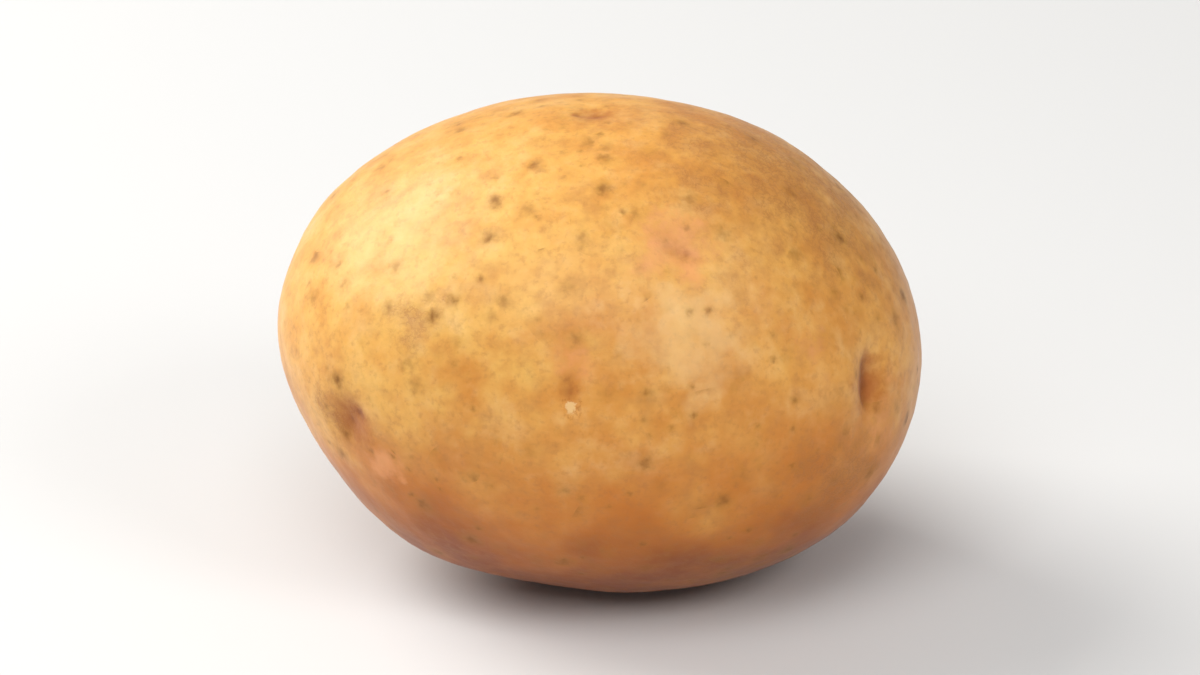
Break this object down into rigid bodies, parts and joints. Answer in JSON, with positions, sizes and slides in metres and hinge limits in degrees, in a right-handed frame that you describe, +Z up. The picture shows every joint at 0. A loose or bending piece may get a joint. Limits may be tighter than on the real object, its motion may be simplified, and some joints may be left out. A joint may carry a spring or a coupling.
{
  "type": "potato",
  "caption": "Round-oval yellow-skinned table potato with shallow eyes, lying on its side on a small flat resting spot.",
  "frame": {"origin": "on the flat resting spot, straight under the middle of the tuber's box", "axes": "+X from the heel end, where the stolon held it, to the rose end, +Y from the front to the back, +Z up"},
  "size_m": [0.0808, 0.0668, 0.061],
  "materials": {
    "skin": "satin"
  },
  "bodies": {
    "root": {"potato": "skin"}
  },
  "joints": []
}
